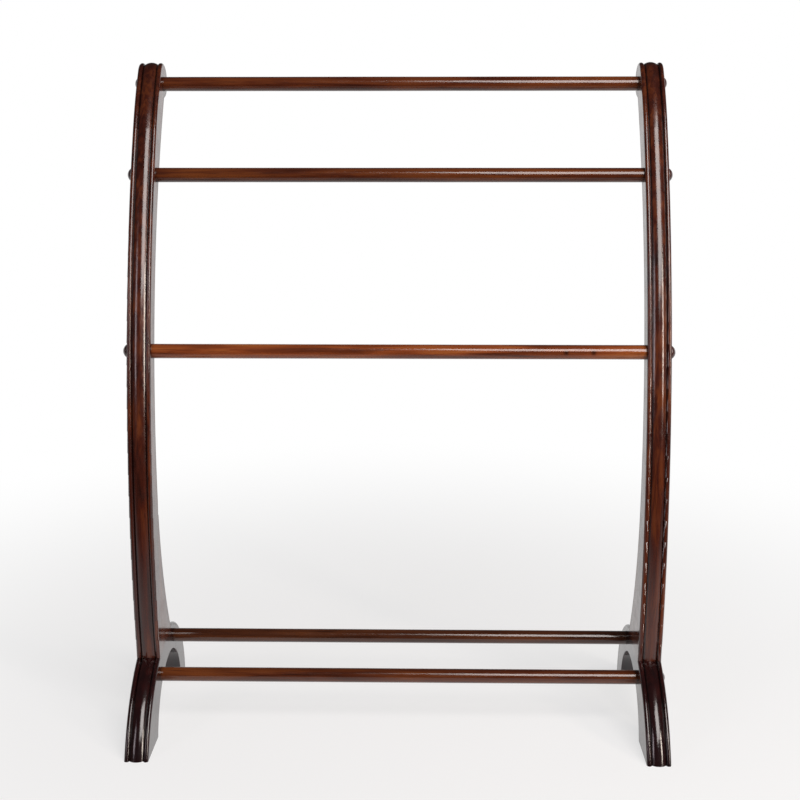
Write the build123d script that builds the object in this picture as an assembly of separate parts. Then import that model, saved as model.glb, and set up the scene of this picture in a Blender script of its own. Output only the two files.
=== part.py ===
from build123d import *
import os
from math import asin, atan2, degrees, hypot, sqrt

os.makedirs("parts", exist_ok=True)

# A free-standing rack: two curved side frames joined by five round rails.
# X runs along the rails, the front of the rack faces -Y, and Z = 0 is the floor.
# Side outlines are drawn in (y, z) with y = 0 at the arch centre of the base.

# ---- Driving dimensions (mm) ----------------------------------------------
rack_width = 734.0          # over the outer faces of the two side frames
rack_height = 915.5         # floor to the crest of the moulded head
panel_thickness = 32.6      # boards of the side frames

rail_diameter = 20.0
rail_seat_depth = 10.0      # how far a rail end enters the side frame
upper_rail_height = 764.3
middle_rail_height = 533.3
top_rail_forward = 5.3      # top rail, forward of and below the head centre
top_rail_drop = 4.5
lower_back_radius = 91.0    # lower rails, from the arch centre
lower_back_angle = 68.9     # and their angles above level
lower_bow_radius = 92.2
lower_front_angle = 133.0

arch_radius = 103.0         # flat of the base, over the top of the arch
opening_radius = 71.5       # arch opening
arch_centre_height = 8.5
toe_reach = 167.0           # arch centre forward to the point of the toe
toe_radius = 190.0          # long curve on the front of the foot
foot_length = 64.0          # flat of the front foot on the floor

stem_front = 69.0           # arch centre forward to the foremost line of the upright
bow_radius = 1328.0         # long curve on the front of the upright
bow_height = 225.0          # height where the upright stands straight up
brow_radius = 420.0         # tighter curve from the bow up to the head
head_set_back = 206.4       # foremost line of the upright back to the head centre
head_radius = 17.0          # flat of the rounded head
neck_radius = 16.0          # hollow under the back of the head
waist_height = 320.0        # narrowest place of the upright
waist_width = 26.0
neck_width = 23.0           # width of the flat just below the head
neck_drop = 100.0           # how far below the head centre that width is taken
flare_radius = 465.0        # hollow that widens the upright towards the base

moulding_depth = 8.0        # crest of the middle reed above the flat
bead_depth = 7.3            # crest of the two side beads
groove_depth = 4.7          # bottom of the grooves above the flat
bead_width = 6.8
bead_lean = 0.4             # crest of a bead, as a share of its width from the face
moulding_root = 3.0         # part of the moulding buried in the board
edge_round = 1.2            # softened edge of the arch opening

button_diameter = 18.5      # turned wooden cover buttons
button_height = 7.0
button_stem_length = 4.0
bore_diameter = 10.0        # blind bore behind each button
bore_depth = 9.0
screw_head_diameter = 8.4
screw_head_height = 3.2
screw_diameter = 4.5
screw_reach = 34.0          # screw length inside the rail

pin_diameter = 8.0          # dowel pins between upright and base
pin_length = 40.0
front_pin_offset = -42.0    # pin axes from the arch centre
back_pin_offset = -8.0

# ---- Named clearances ------------------------------------------------------
rail_clearance = 0.1        # round the rail end, on the radius
end_clearance = 0.2         # behind rail ends, pins and stems
screw_clearance = 0.15
pin_clearance = 0.1
stem_clearance = 0.2
joint_gap = 0.12            # glue line between upright and base
button_gap = 0.1            # under the rim of a cover button


# ---- Small plane geometry --------------------------------------------------
def circles_meet(c1, r1, c2, r2, side):
    """One crossing of two circles; side +1 is left of the line c1 to c2."""
    dy, dz = c2[0] - c1[0], c2[1] - c1[1]
    span = hypot(dy, dz)
    along = (span**2 + r1**2 - r2**2) / (2 * span)
    off = side * sqrt(r1**2 - along**2)
    uy, uz = dy / span, dz / span
    return (c1[0] + along * uy - off * uz, c1[1] + along * uz + off * uy)


def bearing(centre, point):
    """Angle in degrees of point seen from centre."""
    return degrees(atan2(point[1] - centre[1], point[0] - centre[0]))


def turn(centre, radius, start, end):
    """Arc about centre from bearing start to bearing end."""
    return CenterArc((centre[0], centre[1], 0), radius, start, end - start)


def bisector(a, b):
    """Unit vector halfway between two unit vectors."""
    y, z = a[0] + b[0], a[1] + b[1]
    return (y / hypot(y, z), z / hypot(y, z))


def outward(centre, point):
    """Unit vector from centre to point."""
    span = hypot(point[0] - centre[0], point[1] - centre[1])
    return ((point[0] - centre[0]) / span, (point[1] - centre[1]) / span)


# ---- Where things fall -----------------------------------------------------
inner_face = rack_width / 2 - panel_thickness
outer_face = rack_width / 2
mid_plane = rack_width / 2 - panel_thickness / 2

arch_centre = (0.0, arch_centre_height)
toe = (-toe_reach, 0.0)
toe_centre = circles_meet(arch_centre, toe_radius - arch_radius, toe, toe_radius, 1)

head = (head_set_back - stem_front, rack_height - moulding_depth - head_radius)
front_centre = (bow_radius - stem_front, bow_height)
brow_centre = circles_meet(front_centre, bow_radius - brow_radius, head, brow_radius - head_radius, 1)


def front_line(z):
    """Front of the upright's flat at height z."""
    return front_centre[0] - sqrt(bow_radius**2 - (z - bow_height) ** 2)


waist = (front_line(waist_height) + waist_width, waist_height)
neck_z = head[1] - neck_drop
neck_step = front_line(neck_z) + neck_width - waist[0]
back_radius = (neck_step**2 + (neck_z - waist_height) ** 2) / (2 * neck_step)
back_centre = (waist[0] + back_radius, waist_height)
flare_centre = (waist[0] + flare_radius, waist_height)
neck_centre = circles_meet(head, head_radius + neck_radius, back_centre, back_radius - neck_radius, -1)


def back_line(z):
    """Back of the upright's flat at height z, above the waist."""
    return back_centre[0] - sqrt(back_radius**2 - (z - waist_height) ** 2)


def stem_middle(z):
    """Centre of the upright's flat at height z."""
    return ((front_line(z) + back_line(z)) / 2, z)


def on_arch(radius, angle):
    """Place at a radius and an angle above level from the arch centre."""
    spot = Vector(radius, 0, 0).rotate(Axis.Z, angle)
    return (spot.X + arch_centre[0], spot.Y + arch_centre[1])


rails = {
    "top": (head[0] - top_rail_forward, head[1] - top_rail_drop),
    "upper": stem_middle(upper_rail_height),
    "middle": stem_middle(middle_rail_height),
    "lower_back": on_arch(lower_back_radius, lower_back_angle),
    "lower_front": on_arch(lower_bow_radius, lower_front_angle),
}
stem_rails = ["top", "upper", "middle"]
base_rails = ["lower_back", "lower_front"]

# The whole rack is centred front to back on the origin.
toe_crest = toe_centre[0] - sqrt((toe_radius + moulding_depth) ** 2 - toe_centre[1] ** 2)
head_crest = head[0] + head_radius + moulding_depth
shift_y = -(toe_crest + head_crest) / 2

# Front and back ends of the joint between upright and base.
ankle = circles_meet(toe_centre, toe_radius, front_centre, bow_radius, 1)
heel = circles_meet(arch_centre, arch_radius, flare_centre, flare_radius, 1)
ankle_mitre = bisector(outward(front_centre, ankle), outward(toe_centre, ankle))
heel_mitre = bisector(outward(heel, flare_centre), outward(arch_centre, heel))


# ---- Outlines --------------------------------------------------------------
def stem_edges(low):
    """Edge of the upright's flat: up the front, round the head, down the back."""
    start = 180 + degrees(asin((bow_height - low) / bow_radius))
    bend = bearing(front_centre, brow_centre)
    top = bearing(brow_centre, head)
    under = bearing(head, neck_centre)
    hollow = bearing(back_centre, neck_centre)
    finish = 180 + degrees(asin((waist_height - low) / flare_radius))
    return [
        turn(front_centre, bow_radius, start, bend),
        turn(brow_centre, brow_radius, bend, top),
        turn(head, head_radius, top, under),
        turn(neck_centre, neck_radius, under + 180, hollow),
        turn(back_centre, back_radius, hollow, 180),
        turn(flare_centre, flare_radius, 180, finish),
    ]


def base_edges(low):
    """Edge of the base's flat: up the foot, over the arch, down the back leg."""
    start = 180 - degrees(asin((low - toe_centre[1]) / toe_radius))
    crown = bearing(toe_centre, arch_centre)
    back = (arch_centre[0] + arch_radius, arch_centre[1])
    return [
        turn(toe_centre, toe_radius, start, crown),
        turn(arch_centre, arch_radius, crown, 0),
        Line((back[0], back[1], 0), (back[0], low, 0)),
    ]


def closed_face(edges):
    """Face bounded by the edges and a straight line across their ends."""
    first, last = edges[0] @ 0, edges[-1] @ 1
    return make_face(edges + [Line(last, first)])


def board(face, thickness=panel_thickness):
    """Face drawn in (y, z), made solid about the middle plane X = 0."""
    return Plane.YZ * extrude(face, thickness / 2, both=True)


def moulding_section():
    """Bead, groove, middle reed, groove, bead; first axis across the board."""
    half = panel_thickness / 2
    groove = half - bead_width
    crest = -half + bead_width * bead_lean
    left = [(-half, groove_depth * 0.6), (crest, bead_depth), (-groove, groove_depth)]
    right = [(-x, u) for x, u in reversed(left)]
    lines = [
        Line((-half, -moulding_root), left[0]),
        ThreePointArc(*left),
        ThreePointArc(left[2], (0, moulding_depth), right[0]),
        ThreePointArc(*right),
        Line(right[2], (half, -moulding_root)),
        Line((half, -moulding_root), (-half, -moulding_root)),
    ]
    return make_face(lines)


def moulding(edges):
    """The moulding swept along an outline, about the middle plane X = 0."""
    path = Plane.YZ * Wire(edges)
    start, heading = path @ 0, path % 0
    # Travelling clockwise, the outside of the board is on the left hand.
    plane = Plane(origin=start, x_dir=(1, 0, 0), z_dir=heading)
    if plane.y_dir.dot(Vector(1, 0, 0).cross(heading)) < 0:
        plane = Plane(origin=start, x_dir=(-1, 0, 0), z_dir=heading)
    return sweep(plane * moulding_section(), path=path)


# ---- Upright and base blanks -----------------------------------------------
def upright_zone(lift):
    """Everything that belongs to the upright side of the mitred joint."""
    reach = 60.0
    far = rack_height + reach
    front = (ankle[0] + reach * ankle_mitre[0], ankle[1] + reach * ankle_mitre[1])
    back = (heel[0] + 2 * reach * heel_mitre[0], heel[1] + 2 * reach * heel_mitre[1])
    corners = [(-far / 2, far), (-far / 2, front[1]), front, ankle, heel, back, (far / 2, far)]
    raised = [(y, z + lift) for y, z in corners]
    return board(make_face(Polyline(*raised, close=True)), 2 * panel_thickness)


def upright_blank():
    """Moulded upright, coped to sit on the arch of the base."""
    low = arch_centre_height + opening_radius / 2
    edges = stem_edges(low)
    solid = board(closed_face(edges)) + moulding(edges)
    seat = board(offset(closed_face(base_edges(0)), joint_gap), 2 * panel_thickness)
    return (solid - seat) & upright_zone(joint_gap)


def opening_face():
    """Arch opening: long front curve, round back, open at the floor."""
    crown = arch_centre_height + opening_radius
    run = toe_reach - foot_length
    radius = (run**2 + crown**2) / (2 * crown)
    centre = (arch_centre[0], crown - radius)
    low = -10.0
    start = 180 - degrees(asin((low - centre[1]) / radius))
    back = (arch_centre[0] + opening_radius, arch_centre[1])
    edges = [
        turn(centre, radius, start, 90),
        turn(arch_centre, opening_radius, 90, 0),
        Line((back[0], back[1], 0), (back[0], low, 0)),
    ]
    return closed_face(edges)


def base_blank():
    """Moulded arched base with a plain top where the upright stands."""
    edges = base_edges(-20)
    flat = closed_face(edges)
    solid = board(flat) + moulding(edges)
    solid -= upright_zone(0) - board(flat, 3 * panel_thickness)
    solid -= board(opening_face(), 2 * panel_thickness)
    floor = Pos(0, 0, -100) * Box(200, 900, 200)
    solid -= floor
    rim = [e for e in solid.edges() if on_opening_rim(e)]
    return fillet(rim, edge_round)


def on_opening_rim(edge):
    """True for the long edges where the opening meets either face."""
    spot = edge @ 0.5
    near_face = abs(abs(spot.X) - panel_thickness / 2) < 0.01
    crown = arch_centre_height + opening_radius
    inside = -toe_reach + foot_length - 8 < spot.Y < opening_radius + 1 and 0.5 < spot.Z < crown + 1
    return near_face and inside


# ---- Holes in a side frame (outer face towards +X, middle plane X = 0) ------
def along_x(radius, x0, x1, centre):
    """Round bar along X between x0 and x1 about (y, z)."""
    bar = Cylinder(radius, x1 - x0, align=(Align.CENTER, Align.CENTER, Align.MIN))
    return Pos(x0, centre[0], centre[1]) * Rot(0, 90, 0) * bar


def rail_holes(names):
    """Seat for each rail end, screw hole and blind bore behind the button."""
    half = panel_thickness / 2
    cuts = []
    for name in names:
        at = rails[name]
        seat_end = -half + rail_seat_depth + end_clearance
        cuts.append(along_x(rail_diameter / 2 + rail_clearance, -half - 5, seat_end, at))
        cuts.append(along_x(screw_diameter / 2 + screw_clearance, -half, half, at))
        cuts.append(along_x(bore_diameter / 2, half - bore_depth, half + 5, at))
    return cuts


def pin_axes():
    """Pin centres (y, z) on the top of the base's arch."""
    spots = []
    for y in (front_pin_offset, back_pin_offset):
        spots.append((y, arch_centre[1] + sqrt(arch_radius**2 - (y - arch_centre[0]) ** 2)))
    return spots


def upright_pin(extra, y, z):
    """One dowel pin, or with extra radius and length the hole for it."""
    length = pin_length + (2 * end_clearance if extra else 0)
    return Pos(0, y, z) * Cylinder(pin_diameter / 2 + extra, length)


def pins(extra):
    """Both dowel pins of one side frame, or their holes."""
    return [upright_pin(extra, y, z) for y, z in pin_axes()]


def side_upright():
    solid = upright_blank()
    for cut in rail_holes(stem_rails) + pins(pin_clearance):
        solid -= cut
    return solid


def side_base():
    solid = base_blank()
    for cut in rail_holes(base_rails) + pins(pin_clearance):
        solid -= cut
    return solid


# ---- Rails and small hardware ----------------------------------------------
def rail(centre):
    """Turned round rail with a pilot hole in each end."""
    reach = inner_face + rail_seat_depth
    solid = along_x(rail_diameter / 2, -reach, reach, centre)
    solid = chamfer(solid.edges().filter_by(GeomType.CIRCLE), 0.6)
    depth = screw_reach + end_clearance
    for x0, x1 in ((-reach - 1, -reach + depth), (reach - depth, reach + 1)):
        solid -= along_x(screw_diameter / 2 + screw_clearance, x0, x1, centre)
    return solid


def button(centre):
    """Turned cover button with a short stem in the bore."""
    radius = button_diameter / 2
    low = button_gap
    rim = 1.6
    face_radius = (radius**2 + (button_height - rim) ** 2) / (2 * (button_height - rim))
    stem = bore_diameter / 2 - stem_clearance
    foot = low - button_stem_length
    lines = [
        Line((0, foot), (stem, foot)),
        Line((stem, foot), (stem, low)),
        Line((stem, low), (radius - 0.8, low)),
        Line((radius - 0.8, low), (radius, low + rim / 2)),
        Line((radius, low + rim / 2), (radius, low + rim)),
        RadiusArc((radius, low + rim), (0, low + button_height), -face_radius),
        Line((0, low + button_height), (0, foot)),
    ]
    profile = make_face(lines)
    turned = revolve(Plane.XZ * profile, Axis.Z)
    return Pos(outer_face, centre[0], centre[1]) * Rot(0, 90, 0) * turned


def screw(centre):
    """Pan-headed screw from the bore into the end of a rail."""
    seat = outer_face - bore_depth
    tip = inner_face + rail_seat_depth - screw_reach
    radius = screw_diameter / 2
    head_low = seat + 0.05
    body = along_x(radius, tip + 3, head_low, centre)
    point = Pos(tip + 3, centre[0], centre[1]) * Rot(0, -90, 0)
    point *= Cone(radius, 0.5, 3, align=(Align.CENTER, Align.CENTER, Align.MIN))
    top = along_x(screw_head_diameter / 2, head_low, head_low + screw_head_height, centre)
    rim = top.edges().filter_by(GeomType.CIRCLE).sort_by(Axis.X)[-1]
    top = fillet([rim], 1.0)
    slot_x = head_low + screw_head_height
    cross = Pos(slot_x, centre[0], centre[1]) * (Box(3, 4.4, 1.1) + Box(3, 1.1, 4.4))
    return body + point + top - cross


# ---- Placing and writing ---------------------------------------------------
def settle(shape):
    """Move a shape from the drawing position to the rack's own frame."""
    return Pos(0, shift_y, 0) * shape


def flip(shape):
    """The same piece for the left-hand side."""
    return mirror(shape, about=Plane.YZ)


def group(shapes):
    """Separate solids kept together as one piece of hardware."""
    return Compound([solid for shape in shapes for solid in shape.solids()])


def write(shape, name):
    export_step(shape, f"parts/{name}.step")


def write_pair(shape, name):
    """Write the right-hand piece and its mirrored left-hand twin."""
    placed = settle(shape)
    write(placed, f"right_{name}")
    write(flip(placed), f"left_{name}")


write_pair(Pos(mid_plane, 0, 0) * side_upright(), "upright")
write_pair(Pos(mid_plane, 0, 0) * side_base(), "base")
for rail_name, spot in rails.items():
    write(settle(rail(spot)), f"{rail_name}_rail")
    write_pair(button(spot), f"{rail_name}_button")
write_pair(group([screw(spot) for spot in rails.values()]), "rail_screws")
write_pair(group([Pos(mid_plane, 0, 0) * pin for pin in pins(0)]), "joint_pins")
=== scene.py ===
# %% [markdown]
# # A quilt rack in dark, lacquered cherry
# A quilt rack is a light piece of bedroom furniture: two bowed side frames, each a
# curved upright standing on an arched base, joined by five round rails. This lesson
# loads the measured frame of the rack, gives every piece its wood and finish, turns
# the rails and cover buttons anew in more detail, and lights the rack as for a
# catalogue. The boards already have the right shape, with their reeded edges, so
# they keep their mesh and only get a finish.

# %% Load the measured frame
import math

import bmesh
import bpy
from mathutils import Matrix, Vector, noise


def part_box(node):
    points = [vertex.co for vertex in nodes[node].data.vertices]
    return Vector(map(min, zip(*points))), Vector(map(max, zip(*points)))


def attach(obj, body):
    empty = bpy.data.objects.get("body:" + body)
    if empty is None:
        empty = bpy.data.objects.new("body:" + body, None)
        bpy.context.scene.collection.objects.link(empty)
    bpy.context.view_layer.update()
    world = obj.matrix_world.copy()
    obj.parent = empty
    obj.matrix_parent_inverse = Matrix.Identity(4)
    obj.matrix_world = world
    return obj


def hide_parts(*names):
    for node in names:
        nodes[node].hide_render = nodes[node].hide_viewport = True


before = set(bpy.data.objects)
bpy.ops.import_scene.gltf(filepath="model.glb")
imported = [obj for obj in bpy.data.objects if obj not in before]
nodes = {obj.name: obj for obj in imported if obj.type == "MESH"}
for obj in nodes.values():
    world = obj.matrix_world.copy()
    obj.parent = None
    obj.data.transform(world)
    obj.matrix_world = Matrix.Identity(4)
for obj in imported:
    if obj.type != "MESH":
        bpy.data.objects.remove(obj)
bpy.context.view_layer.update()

# %% [markdown]
# ## The camera
# The rack is seen from the front, from a little above its own height, with a lens
# slightly longer than normal. The camera looks down by its tilt and turns a touch to
# the left, so that both side frames show their inner faces as thin strips. Setting
# the rotation from three turns, one after another, keeps each of them readable.

# %% Camera
SENSOR = 36.0
LENS = 58.795
CAMERA_PLACE = (0.0343, -1.7535, 0.8864)
TILT_DOWN, TURN_LEFT, LEAN = 13.6152, 1.0587, -0.0624


def turn(degrees, axis):
    """Rotation matrix about one axis."""
    return Matrix.Rotation(math.radians(degrees), 3, axis)


lens = bpy.data.cameras.new("camera")
lens.sensor_width = SENSOR
lens.lens = LENS
camera = bpy.data.objects.new("camera", lens)
camera.location = CAMERA_PLACE
look = turn(TURN_LEFT, "Z") @ turn(90 - TILT_DOWN, "X") @ turn(LEAN, "Z")
camera.rotation_euler = look.to_euler()
bpy.context.collection.objects.link(camera)
bpy.context.scene.camera = camera
print("lens", round(lens.lens, 1), "mm")

# %% [markdown]
# ## Colours and nodes
# A maker mixes stain by eye, so colours are written here as the hex values one would
# pick on a screen, and one function turns them into the linear light values that
# Blender computes with. One more small function adds a shader node: it takes the
# node's type, its settings, and what its inputs are joined to or set to.


# %% Helpers for colours and nodes
def linear(code):
    """Hex colour to linear red, green, blue, alpha."""
    parts = [int(code[i : i + 2], 16) / 255 for i in (1, 3, 5)]
    return tuple(c / 12.92 if c <= 0.04045 else ((c + 0.055) / 1.055) ** 2.4 for c in parts) + (1.0,)


def add(tree, kind, inputs=None, ramp=None, **settings):
    """Adds a node; inputs are sockets to join or values to set, ramp is colour stops."""
    made = tree.nodes.new(kind)
    for key, value in settings.items():
        setattr(made, key, value)
    for key, value in (inputs or {}).items():
        if isinstance(value, bpy.types.NodeSocket):
            tree.links.new(value, made.inputs[key])
        else:
            made.inputs[key].default_value = value
    if ramp:
        stops = made.color_ramp.elements
        while len(stops) < len(ramp):
            stops.new(0.5)
        for stop, (place, colour) in zip(stops, ramp):
            stop.position, stop.color = place, linear(colour)
    return made


def new_material(name):
    """An empty node material and its tree."""
    material = bpy.data.materials.new(name)
    material.use_nodes = True
    material.node_tree.nodes.clear()
    return material, material.node_tree


# %% [markdown]
# ## Stained and lacquered cherry
# Cherry and similar fine hardwoods have soft streaks that follow the trunk, fine
# short pores, and now and then a small knot. The maker stains the wood dark red
# brown, wipes a nearly black glaze into the grooves and corners, and sprays clear
# gloss lacquer over it. End grain soaks up more stain, so it comes out darkest: that
# is why the front of each foot, whose grain runs front to back, is nearly black.
#
# One function makes this wood for any grain direction. The streaks are noise that is
# stretched along the grain, in real sizes: streaks 7 mm wide, pores 1.6 mm wide (real
# ones are about 0.1 mm, too fine to show) and 35 mm long. The dark glaze colour is
# mixed in where the Ambient Occlusion node finds a recess, which is glaze and painted
# shade. On the boards it is also mixed into the two grooves of the moulding, which lie
# at a fixed distance from the middle of each board: glaze there too, and painted shade.
# That dark line is moved a little to the right of each groove, which is painted shade
# on the groove's right wall, turned away from the light on the right. The
# lacquer gives the eye a hard, slightly uneven shine over the soft colour below.

# %% The wood function
RACK_WIDTH = 0.734
BOARD_THICKNESS = 0.0326
BOARD_MIDDLE = (RACK_WIDTH - BOARD_THICKNESS) / 2
GROOVE_OFFSET = BOARD_THICKNESS / 2 - 0.0068
# Painted shade and glaze: how far the groove darkening reaches, and how far it is moved right as the
# shaded right wall of each groove.
GROOVE_GLAZE_AND_SHADE_FULL, GROOVE_GLAZE_AND_SHADE_WIDTH = 0.0004, 0.0021
GROOVE_SHADE_SHIFT = 0.0006
# Painted shade and glaze: reach of the Ambient Occlusion darkening in recesses.
GLAZE_AND_SHADE_REACH = 0.009
LACQUER_IOR = 1.5
STREAK_WIDTH, STREAK_LENGTH = 7.0, 130.0
FIGURE_WIDTH, FIGURE_LENGTH = 34.0, 260.0
PORE_WIDTH, PORE_LENGTH = 1.6, 35.0
FIGURE_SHARE = 0.42
SKIN_HEIGHT = 0.0004
PEEL_SCALE, CLOUD_SCALE = 420.0, 55.0
KNOT_CORE, KNOT_EDGE = 0.0012, 0.0052


def stained_wood(name, grain, dark, middle, light, end_grain, glaze_and_shade, moulded=False, knots=(),
                 gloss=0.16, peel_height=0.10, end_amount=0.9):
    """Stained, glazed and lacquered hardwood with its grain along one axis, and painted shade in its
    recesses and grooves.
    """
    material, tree = new_material(name)
    place = add(tree, "ShaderNodeTexCoord").outputs["Object"]
    along = {"X": 0, "Y": 1, "Z": 2}[grain]

    def stretched(width_mm, length_mm, detail, distortion=0.0, shift=0.0):
        scale = [1000 / width_mm] * 3
        scale[along] = 1000 / length_mm
        spot = add(tree, "ShaderNodeMapping", {"Vector": place, "Scale": scale, "Location": [shift] * 3})
        inputs = {"Vector": spot.outputs[0], "Scale": 1.0, "Detail": detail, "Distortion": distortion}
        return add(tree, "ShaderNodeTexNoise", inputs).outputs["Fac"]

    streaks = stretched(STREAK_WIDTH, STREAK_LENGTH, 4.0, 0.6)
    figure = stretched(FIGURE_WIDTH, FIGURE_LENGTH, 2.0, 0.8, 3.7)
    pores = stretched(PORE_WIDTH, PORE_LENGTH, 3.0, 0.2, 9.1)
    mixed = add(tree, "ShaderNodeMix", {"Factor": FIGURE_SHARE, "A": streaks, "B": figure},
                data_type="FLOAT").outputs["Result"]
    spread = add(tree, "ShaderNodeMapRange",
                 {"Value": mixed, "From Min": 0.34, "From Max": 0.66}).outputs["Result"]
    wood = add(tree, "ShaderNodeValToRGB", {"Fac": spread},
               [(0.0, dark), (0.45, middle), (1.0, light)]).outputs["Color"]

    pore_dark = add(tree, "ShaderNodeMapRange", {"Value": pores, "From Min": 0.56, "From Max": 0.70,
                                                "To Max": 0.55}).outputs["Result"]
    wood = add(tree, "ShaderNodeMix", {"Factor": pore_dark, "A": wood, "B": linear(dark)},
               data_type="RGBA").outputs["Result"]

    facing = add(tree, "ShaderNodeSeparateXYZ",
                 {"Vector": add(tree, "ShaderNodeNewGeometry").outputs["Normal"]}).outputs[along]
    end_on = add(tree, "ShaderNodeMath", {0: facing}, operation="ABSOLUTE").outputs[0]
    end_on = add(tree, "ShaderNodeMapRange", {"Value": end_on, "From Min": 0.35, "From Max": 0.95,
                                             "To Max": end_amount}).outputs["Result"]
    wood = add(tree, "ShaderNodeMix", {"Factor": end_on, "A": wood, "B": linear(end_grain)},
               data_type="RGBA").outputs["Result"]

    for knot in knots:
        away = add(tree, "ShaderNodeVectorMath", {0: place, 1: knot},
                   operation="DISTANCE").outputs["Value"]
        inside = add(tree, "ShaderNodeMapRange", {
            "Value": away, "From Min": KNOT_CORE, "From Max": KNOT_EDGE,
            "To Min": 0.75, "To Max": 0.0}).outputs["Result"]
        wood = add(tree, "ShaderNodeMix", {"Factor": inside, "A": wood, "B": linear(glaze_and_shade)},
                   data_type="RGBA").outputs["Result"]

    # Painted shade and glaze: recesses found by Ambient Occlusion take the dark colour, as glaze and as
    # the shade that falls there.
    open_air = add(tree, "ShaderNodeAmbientOcclusion", {"Distance": GLAZE_AND_SHADE_REACH}, samples=8).outputs["AO"]
    recess_glaze_and_shade = add(tree, "ShaderNodeMapRange", {"Value": open_air, "From Min": 0.80, "From Max": 0.30,
                                             "To Max": 0.85}).outputs["Result"]
    # Painted shade and glaze: the two grooves of the moulding take the dark colour, moved to the right as
    # their shaded right walls.
    if moulded:
        across = add(tree, "ShaderNodeSeparateXYZ", {"Vector": place}).outputs["X"]
        for offset in (GROOVE_SHADE_SHIFT, BOARD_MIDDLE, GROOVE_OFFSET):
            across = add(tree, "ShaderNodeMath", {0: across, 1: offset}, operation="SUBTRACT").outputs[0]
            across = add(tree, "ShaderNodeMath", {0: across}, operation="ABSOLUTE").outputs[0]
        groove_glaze_and_shade = add(tree, "ShaderNodeMapRange", {
            "Value": across, "From Min": GROOVE_GLAZE_AND_SHADE_FULL, "From Max": GROOVE_GLAZE_AND_SHADE_WIDTH,
            "To Min": 0.9, "To Max": 0.0}).outputs["Result"]
        recess_glaze_and_shade = add(tree, "ShaderNodeMath", {0: recess_glaze_and_shade, 1: groove_glaze_and_shade}, operation="MAXIMUM").outputs[0]
    wood = add(tree, "ShaderNodeMix", {"Factor": recess_glaze_and_shade, "A": wood, "B": linear(glaze_and_shade)},
               data_type="RGBA").outputs["Result"]

    cloud = add(tree, "ShaderNodeTexNoise",
                {"Vector": place, "Scale": CLOUD_SCALE, "Detail": 3.0}).outputs["Fac"]
    rough = add(tree, "ShaderNodeMapRange", {
        "Value": cloud, "From Min": 0.3, "From Max": 0.7,
        "To Min": gloss * 0.75, "To Max": gloss * 1.35}).outputs["Result"]
    peel = add(tree, "ShaderNodeTexNoise",
               {"Vector": place, "Scale": PEEL_SCALE, "Detail": 2.0}).outputs["Fac"]
    pore_bump = add(tree, "ShaderNodeBump", {"Height": pores, "Strength": 0.22, "Distance": SKIN_HEIGHT})
    skin = add(tree, "ShaderNodeBump", {"Height": peel, "Strength": peel_height, "Distance": SKIN_HEIGHT,
                                        "Normal": pore_bump.outputs[0]}).outputs[0]
    shader = add(tree, "ShaderNodeBsdfPrincipled", {
        "Base Color": wood, "Roughness": rough, "Normal": skin, "IOR": LACQUER_IOR,
        "Coat Weight": 0.35, "Coat Roughness": 0.08, "Coat IOR": LACQUER_IOR})
    add(tree, "ShaderNodeOutputMaterial", {"Surface": shader.outputs[0]})
    return material


# %% [markdown]
# ### The same finish on each kind of piece
# The uprights have upright grain, the arched bases have theirs front to back, and the
# rails along their length. Rails are cut from whatever stock is at hand, so each has
# a tone of its own: the middle one is the lightest and warmest, with two small knots,
# and the lower back one is the darkest. They are sanded finer than the boards, which
# leaves the lacquer smoother. The cover buttons are small and take up much stain, so
# they are dark.

# %% Wood for each kind of piece
middle_low, middle_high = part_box("middle_rail")
RAIL_RADIUS = (middle_high.z - middle_low.z) / 2
KNOT_RISE, KNOT_DEPTH = 0.001, 0.0003
knot_height = (middle_low.z + middle_high.z) / 2 + KNOT_RISE
KNOTS = [(x, middle_low.y + KNOT_DEPTH, knot_height) for x in (0.226, 0.263)]

upright_wood = stained_wood(
    "cherry_upright_stained_lacquered", "Z", dark="#260d08", middle="#451a0e", light="#6a3418",
    end_grain="#240a06", glaze_and_shade="#0e0405", moulded=True, gloss=0.20)
base_wood = stained_wood(
    "cherry_base_stained_lacquered", "Y", dark="#1a0808", middle="#280c0b", light="#3a130f",
    end_grain="#16060a", glaze_and_shade="#080304", moulded=True)
RAIL_TONES = {
    "top_rail": ("#2e1008", "#532410", "#703a1a"),
    "upper_rail": ("#2c1008", "#4e220f", "#6c3818"),
    "middle_rail": ("#50220e", "#86421f", "#a8622f"),
    "lower_back_rail": ("#240c06", "#42200f", "#5a3018"),
    "lower_front_rail": ("#2e1008", "#542610", "#723c1a"),
}
rail_woods = {
    name: stained_wood(
        "cherry_" + name + "_stained_lacquered", "X", *tones, end_grain="#220c08", glaze_and_shade="#140706",
        knots=KNOTS if name == "middle_rail" else (), gloss=0.15, peel_height=0.03)
    for name, tones in RAIL_TONES.items()}
button_wood = stained_wood(
    "cherry_button_stained_lacquered", "X", dark="#2c1210", middle="#3c1a16", light="#4c241c",
    end_grain="#34161a", glaze_and_shade="#120607", end_amount=0.5)
print("woods:", [m.name for m in (upright_wood, base_wood, button_wood, *rail_woods.values())])

# %% [markdown]
# ### Hidden hardware
# Behind each button a zinc-plated steel screw holds the rail, and two beech dowel
# pins line up each upright with its base. Nobody sees them in the finished rack, but
# a good model has them, and they get a real finish too. Zinc gives the eye a cool,
# slightly blurred metal with fine turning marks, and beech a pale wood with short
# flecks that feels dry, because nothing was sprayed on it.


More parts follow.
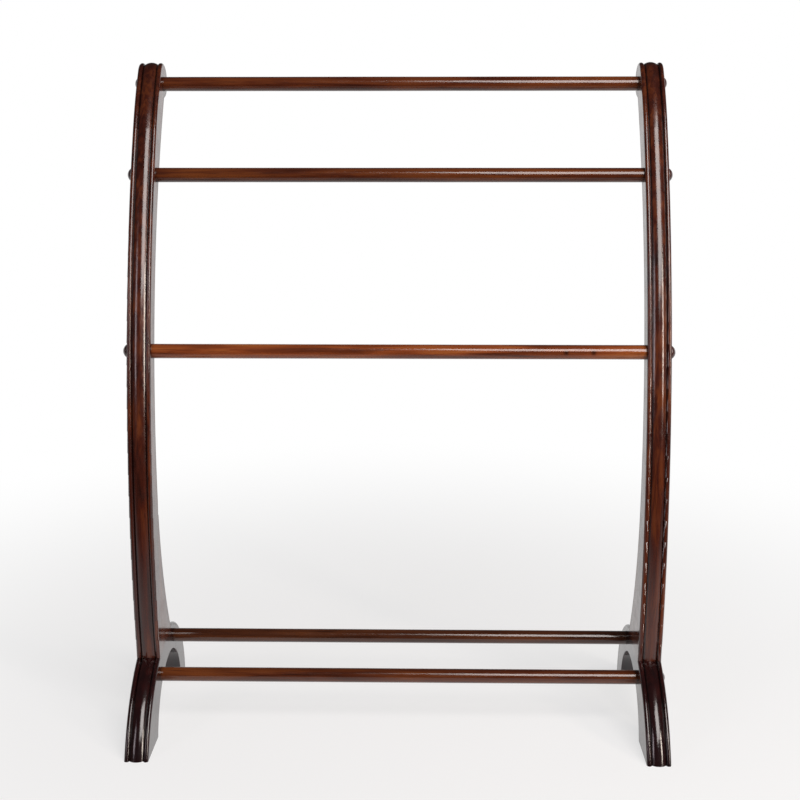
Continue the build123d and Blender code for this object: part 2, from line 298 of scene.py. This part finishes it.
# %% Steel and beech
def zinc_plated_steel():
    """Bright zinc over steel, with faint turning marks round the screw's axis."""
    material, tree = new_material("steel_zinc_plated")
    place = add(tree, "ShaderNodeTexCoord").outputs["Object"]
    spot = add(tree, "ShaderNodeMapping", {"Vector": place, "Scale": (1600.0, 120.0, 120.0)})
    marks = add(tree, "ShaderNodeTexNoise",
                {"Vector": spot.outputs[0], "Scale": 1.0, "Detail": 2.0}).outputs["Fac"]
    tone = add(tree, "ShaderNodeValToRGB", {"Fac": marks},
               [(0.3, "#a9a79d"), (0.7, "#cfcdc4")]).outputs["Color"]
    rough = add(tree, "ShaderNodeMapRange",
                {"Value": marks, "To Min": 0.25, "To Max": 0.42}).outputs["Result"]
    shader = add(tree, "ShaderNodeBsdfPrincipled",
                 {"Base Color": tone, "Roughness": rough, "Metallic": 1.0})
    add(tree, "ShaderNodeOutputMaterial", {"Surface": shader.outputs[0]})
    return material


def bare_beech():
    """Bare beech dowel: pale, with short darker flecks along the pin."""
    material, tree = new_material("beech_dowel_bare")
    place = add(tree, "ShaderNodeTexCoord").outputs["Object"]
    spot = add(tree, "ShaderNodeMapping", {"Vector": place, "Scale": (900.0, 900.0, 160.0)})
    flecks = add(tree, "ShaderNodeTexNoise",
                 {"Vector": spot.outputs[0], "Scale": 1.0, "Detail": 3.0}).outputs["Fac"]
    tone = add(tree, "ShaderNodeValToRGB", {"Fac": flecks},
               [(0.35, "#c79b6c"), (0.65, "#e2bf93")]).outputs["Color"]
    bump = add(tree, "ShaderNodeBump",
               {"Height": flecks, "Strength": 0.2, "Distance": 0.0003}).outputs[0]
    shader = add(tree, "ShaderNodeBsdfPrincipled",
                 {"Base Color": tone, "Roughness": 0.6, "Normal": bump})
    add(tree, "ShaderNodeOutputMaterial", {"Surface": shader.outputs[0]})
    return material


screw_steel = zinc_plated_steel()
pin_beech = bare_beech()

# %% [markdown]
# ## Finish the boards and the hardware
# The boards and the hidden hardware keep the frame's meshes, so finishing them is only
# a matter of putting the right material in the slot of each one.

# %% Put the finishes on the frame's own pieces
FINISHES = {"upright": upright_wood, "base": base_wood,
            "rail_screws": screw_steel, "joint_pins": pin_beech}
for name, piece in nodes.items():
    for ending, finish in FINISHES.items():
        if name.endswith(ending):
            piece.data.materials.clear()
            piece.data.materials.append(finish)
            print(name, "finished in", finish.name)


# %% [markdown]
# ## Rails
# Rails are turned or drawn through a die, then sanded by hand, so they are straight
# but not perfect: along its length the diameter wanders by a tenth of a millimetre,
# which is what makes a highlight on a real rail swim a little. Each rail starts as a
# ring of vertices at one end and is extruded ring by ring; the wander is then added
# as a smooth noise on the radius, and both ends get a small chamfer, as cut. The
# radius starts smaller by the rail margin, so that the widest spot stays inside the
# measured rail.

# %% Rail maker
RAIL_SIDES = 48
RAIL_RINGS = 92
RAIL_WANDER = 0.00010
RAIL_END_CHAMFER = 0.0006
RAIL_MARGIN = 0.00012
SMOOTH_ANGLE = math.radians(35)


def as_piece(mesh_name, work, finish, replaced):
    """Turns a bmesh into a finished piece that rides on the rack."""
    bmesh.ops.recalc_face_normals(work, faces=work.faces)
    mesh = bpy.data.meshes.new(mesh_name)
    work.to_mesh(mesh)
    work.free()
    for face in mesh.polygons:
        face.use_smooth = True
    mesh.set_sharp_from_angle(angle=SMOOTH_ANGLE)
    mesh.materials.append(finish)
    piece = bpy.data.objects.new(mesh_name, mesh)
    bpy.context.collection.objects.link(piece)
    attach(piece, "root")
    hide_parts(replaced)
    return piece


def make_rail(node_name):
    """One rail, in the place of its node, from end to end."""
    low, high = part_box(node_name)
    centre = (low + high) / 2
    length = high.x - low.x
    work = bmesh.new()
    start = Matrix.Translation((low.x, centre.y, centre.z)) @ turn(90, "Y").to_4x4()
    bmesh.ops.create_circle(work, cap_ends=True, segments=RAIL_SIDES,
                            radius=RAIL_RADIUS - RAIL_MARGIN, matrix=start)
    edges = [e for e in work.edges if e.is_boundary or e.is_wire]
    for _ in range(RAIL_RINGS):
        grown = bmesh.ops.extrude_edge_only(work, edges=edges)
        fresh = [g for g in grown["geom"] if isinstance(g, bmesh.types.BMVert)]
        bmesh.ops.translate(work, verts=fresh, vec=(length / RAIL_RINGS, 0, 0))
        edges = [g for g in grown["geom"] if isinstance(g, bmesh.types.BMEdge)]
    bmesh.ops.contextual_create(work, geom=edges)
    for vertex in work.verts:
        spot = Vector((vertex.co.x * 9, centre.z * 50, centre.y * 50))
        out = Vector((0, vertex.co.y - centre.y, vertex.co.z - centre.z)).normalized()
        vertex.co += out * RAIL_WANDER * noise.noise(spot)
    rims = [e for e in work.edges if any(len(f.verts) > 4 for f in e.link_faces)]
    bmesh.ops.bevel(work, geom=rims, offset=RAIL_END_CHAMFER, segments=2, profile=0.5,
                    affect="EDGES", material=-1)
    return as_piece(node_name + "_turned", work, rail_woods[node_name], node_name)


rails = [make_rail(name) for name in sorted(nodes) if name.endswith("_rail")]
print("rails:", [(r.name, len(r.data.polygons)) for r in rails])

# %% [markdown]
# ## Cover buttons
# A cover button is a small mushroom turned in wood: a flat underside, a thin upright
# rim and a low dome, with a stem that is glued into the screw's bore. A lathe is what
# makes it, so here a profile is spun round the axis of the rail. The rim is rounded
# over with a few extra points, which catch a small bright line.

# %% Button maker
BUTTON_STEPS = 40
STEM_LENGTH, STEM_RADIUS = 0.004, 0.0048
UNDER_RIM_GAP = 0.0001
RIM_HEIGHT = 0.0016
DOME_STEPS = 10
DOME_START = 0.97
SAME_SPOT = 1e-6


def button_profile(radius, height):
    """Points (out from the axis, away from the board) from the stem to the crown."""
    crown = height - RIM_HEIGHT
    curve = (radius**2 + crown**2) / (2 * crown)
    points = [(0.0, UNDER_RIM_GAP - STEM_LENGTH), (STEM_RADIUS, UNDER_RIM_GAP - STEM_LENGTH),
              (STEM_RADIUS, UNDER_RIM_GAP), (radius - 0.0009, UNDER_RIM_GAP),
              (radius - 0.0002, UNDER_RIM_GAP + 0.0003), (radius, UNDER_RIM_GAP + 0.0009)]
    widest = math.asin(radius / curve)
    for step in range(DOME_STEPS + 1):
        angle = widest * DOME_START * (1 - step / DOME_STEPS)
        fall = curve * (1 - math.cos(angle))
        points.append((curve * math.sin(angle), UNDER_RIM_GAP + height - fall))
    return points


def make_button(node_name):
    """One cover button, spun in the place of its node."""
    low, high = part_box(node_name)
    side = 1 if low.x > 0 else -1
    near, far = sorted((abs(low.x), abs(high.x)))
    centre = (low + high) / 2
    face = near + STEM_LENGTH - UNDER_RIM_GAP
    height = far - face - UNDER_RIM_GAP
    work = bmesh.new()
    spots = button_profile((high.z - low.z) / 2, height)
    verts = [work.verts.new((side * (face + away), centre.y + out, centre.z)) for out, away in spots]
    edges = [work.edges.new(pair) for pair in zip(verts, verts[1:])]
    bmesh.ops.spin(work, geom=verts + edges, cent=(0, centre.y, centre.z), axis=(1, 0, 0),
                   angle=2 * math.pi, steps=BUTTON_STEPS, use_merge=True, use_duplicate=False)
    bmesh.ops.remove_doubles(work, verts=work.verts, dist=SAME_SPOT)
    return as_piece(node_name + "_turned", work, button_wood, node_name)


buttons = [make_button(name) for name in sorted(nodes) if name.endswith("_button")]
print("buttons:", len(buttons), "of", len(buttons[0].data.polygons), "faces")

# %% [markdown]
# ## The studio
# Catalogue pictures of dark glossy furniture are taken in a white cove. The white
# behind the rack shows in the inner faces of the boards as a pale sheen, and the dark
# room behind the camera keeps the fronts deep. A strong tall softbox on the right and
# a weaker one on the left draw the bright lines along the reeds, and a wide one
# overhead draws the broad shine on the upper fronts and the lines on the rails. The
# floor is white paper: matt, and burnt out by its own light further back.

# %% Floor that runs out into white
FLOOR_SIZE = 12.0
BURN_START, BURN_END = 0.25, 1.5
REFLECTED_GLOW_START, REFLECTED_GLOW_END = -0.9, -0.12


def cove_floor():
    """White paper, softly shaded near the rack and burnt out to white further away.

    Its glow is painted light: the camera sees it at full strength, and in the gloss of the rack and the
    light it throws, the glow fades to dark towards the front."""
    material, tree = new_material("paper_cove_white")
    place = add(tree, "ShaderNodeTexCoord").outputs["Object"]
    away = add(tree, "ShaderNodeVectorMath", {0: place}, operation="LENGTH").outputs["Value"]
    burn = add(tree, "ShaderNodeMapRange", {
        "Value": away, "From Min": BURN_START, "From Max": BURN_END, "To Min": 0.66},
        interpolation_type="SMOOTHSTEP").outputs["Result"]
    depth = add(tree, "ShaderNodeSeparateXYZ", {"Vector": place}).outputs["Y"]
    # Painted light: for all rays but the camera's, the paper's glow fades from bright at the back to dark
    # in front.
    reflected_glow = add(tree, "ShaderNodeMapRange", {
        "Value": depth, "From Min": REFLECTED_GLOW_START, "From Max": REFLECTED_GLOW_END,
        "To Min": 0.03, "To Max": 0.85}).outputs["Result"]
    seen = add(tree, "ShaderNodeLightPath").outputs["Is Camera Ray"]
    level = add(tree, "ShaderNodeMix", {"Factor": seen, "A": reflected_glow, "B": 1.0},
                data_type="FLOAT").outputs["Result"]
    paper = add(tree, "ShaderNodeBsdfDiffuse", {"Color": linear("#f6f6f7")}).outputs[0]
    burnt = add(tree, "ShaderNodeEmission", {"Color": (1, 1, 1, 1), "Strength": level}).outputs[0]
    mixed = add(tree, "ShaderNodeMixShader", {"Fac": burn, 1: paper, 2: burnt}).outputs[0]
    add(tree, "ShaderNodeOutputMaterial", {"Surface": mixed})
    return material


work = bmesh.new()
bmesh.ops.create_grid(work, x_segments=1, y_segments=1, size=FLOOR_SIZE / 2)
floor_mesh = bpy.data.meshes.new("floor")
work.to_mesh(floor_mesh)
work.free()
floor_mesh.materials.append(cove_floor())
floor = bpy.data.objects.new("floor", floor_mesh)
bpy.context.collection.objects.link(floor)

# %% Room light
ROOM_DARK, ROOM_WHITE = 0.05, 0.92
world = bpy.data.worlds.new("studio")
world.use_nodes = True
tree = world.node_tree
tree.nodes.clear()
direction = add(tree, "ShaderNodeTexCoord").outputs["Generated"]
part = add(tree, "ShaderNodeSeparateXYZ", {"Vector": direction})
behind = add(tree, "ShaderNodeMapRange", {
    "Value": part.outputs["Y"], "From Min": 0.0, "From Max": 0.45}).outputs["Result"]
below = add(tree, "ShaderNodeMapRange", {
    "Value": part.outputs["Z"], "From Min": 0.42, "From Max": 0.12}).outputs["Result"]
white = add(tree, "ShaderNodeMath", {0: behind, 1: below}, operation="MULTIPLY").outputs[0]
level = add(tree, "ShaderNodeMapRange", {
    "Value": white, "To Min": ROOM_DARK, "To Max": ROOM_WHITE}).outputs["Result"]
seen = add(tree, "ShaderNodeLightPath").outputs["Is Camera Ray"]
level = add(tree, "ShaderNodeMix", {"Factor": seen, "A": level, "B": 1.0},
            data_type="FLOAT").outputs["Result"]
glow = add(tree, "ShaderNodeBackground", {"Color": (1, 1, 1, 1), "Strength": level}).outputs[0]
add(tree, "ShaderNodeOutputWorld", {"Surface": glow})
bpy.context.scene.world = world
print("room: dark", ROOM_DARK, "in front, white", ROOM_WHITE, "low behind")

# %% Softboxes


def softbox(name, place, aim, width, height, watts, tint):
    """A rectangular area light at a place, facing a point."""
    lamp = bpy.data.lights.new(name, "AREA")
    lamp.shape, lamp.size, lamp.size_y, lamp.energy = "RECTANGLE", width, height, watts
    lamp.color = linear(tint)[:3]
    box = bpy.data.objects.new(name, lamp)
    box.location = place
    box.rotation_euler = (Vector(aim) - Vector(place)).to_track_quat("-Z", "Y").to_euler()
    bpy.context.collection.objects.link(box)
    print(name, "at", place, "with", watts, "W")


softbox("softbox_right", (2.25, -2.1, 1.40), (0.0, 0.0, 1.40), 0.34, 1.3, 32, "#fff1e4")
softbox("softbox_left", (-1.95, -2.1, 1.45), (0.0, 0.0, 1.45), 0.60, 1.2, 11, "#f4e6ee")
softbox("softbox_high", (0.85, -1.75, 2.25), (0.1, 0.0, 0.7), 1.50, 1.5, 58, "#f8f2ef")
bpy.context.scene.view_settings.view_transform = "Standard"
